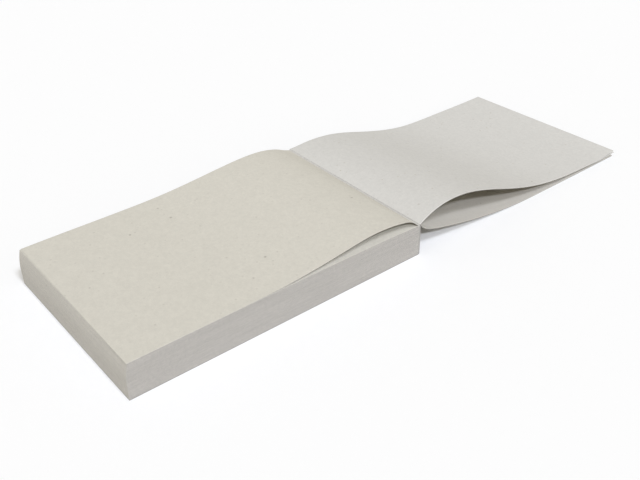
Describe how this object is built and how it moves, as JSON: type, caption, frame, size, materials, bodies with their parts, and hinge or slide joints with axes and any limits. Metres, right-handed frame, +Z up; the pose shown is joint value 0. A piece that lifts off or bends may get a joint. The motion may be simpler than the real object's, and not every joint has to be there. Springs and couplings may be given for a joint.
{
  "type": "sketch pad",
  "caption": "Soft-cover glue-bound sketch pad of plain recycled paper, lying open: its cover and first leaves are turned over, and loose leaves lift on the binding.",
  "frame": {"origin": "middle of the back cover's resting face", "axes": "+Y along the leaves towards the binding and the turned cover, +X along the binding, +Z up out of the page"},
  "size_m": [0.14, 0.4299, 0.0322],
  "materials": {
    "recycled_paper": "uncoated recycled drawing paper with fibres and small flecks",
    "cover_card": "uncoated recycled card",
    "binding_glue": "dried flexible binding glue"
  },
  "bodies": {
    "block": {"back_cover": "cover_card", "spine_cover": "cover_card", "binding_glue": "binding_glue", "leaf_07": "recycled_paper", "leaf_08": "recycled_paper", "leaf_09": "recycled_paper", "leaf_10": "recycled_paper", "leaves_011_020": "recycled_paper", "leaves_021_030": "recycled_paper", "leaves_031_040": "recycled_paper", "leaves_041_050": "recycled_paper", "leaves_051_060": "recycled_paper", "leaves_061_070": "recycled_paper", "leaves_071_080": "recycled_paper", "leaves_081_090": "recycled_paper", "leaves_091_100": "recycled_paper"},
    "front_cover": {"front_cover": "cover_card"},
    "leaf_01": {"leaf_01": "recycled_paper"},
    "leaf_02": {"leaf_02": "recycled_paper"},
    "leaf_03": {"leaf_03": "recycled_paper"},
    "leaf_04": {"leaf_04": "recycled_paper"},
    "leaf_05": {"leaf_05": "recycled_paper"},
    "leaf_06": {"leaf_06": "recycled_paper"}
  },
  "joints": [
    {"name": "cover_hinge", "type": "hinge", "parent": "block", "child": "front_cover", "pos_m": [0, 0.1091, 0.02311], "axis": [-1, 0, 0], "range_deg": [-185, 0]},
    {"name": "leaf_01_hinge", "type": "hinge", "parent": "block", "child": "leaf_01", "pos_m": [0, 0.1086, 0.02348], "axis": [-1, 0, 0], "range_deg": [-185, 0], "deforming": ["leaf_01"]},
    {"name": "leaf_02_hinge", "type": "hinge", "parent": "block", "child": "leaf_02", "pos_m": [0, 0.1082, 0.02371], "axis": [-1, 0, 0], "range_deg": [-185, 0], "deforming": ["leaf_02"]},
    {"name": "leaf_06_hinge", "type": "hinge", "parent": "block", "child": "leaf_06", "pos_m": [0, 0.10729, 0.02227], "axis": [-1, 0, 0], "range_deg": [0, 8]},
    {"name": "leaf_05_hinge", "type": "hinge", "parent": "leaf_06", "child": "leaf_05", "pos_m": [0, 0.10729, 0.0225], "axis": [-1, 0, 0], "range_deg": [0, 12]},
    {"name": "leaf_04_hinge", "type": "hinge", "parent": "leaf_05", "child": "leaf_04", "pos_m": [0, 0.10729, 0.02273], "axis": [-1, 0, 0], "range_deg": [0, 20]},
    {"name": "leaf_03_hinge", "type": "hinge", "parent": "leaf_04", "child": "leaf_03", "pos_m": [0, 0.10729, 0.02296], "axis": [-1, 0, 0], "range_deg": [0, 40], "deforming": ["leaf_03"]}
  ],
  "couplings": [
    {"joint": "leaf_01_hinge", "follows": "cover_hinge", "ratio": 1},
    {"joint": "leaf_02_hinge", "follows": "cover_hinge", "ratio": 1}
  ]
}
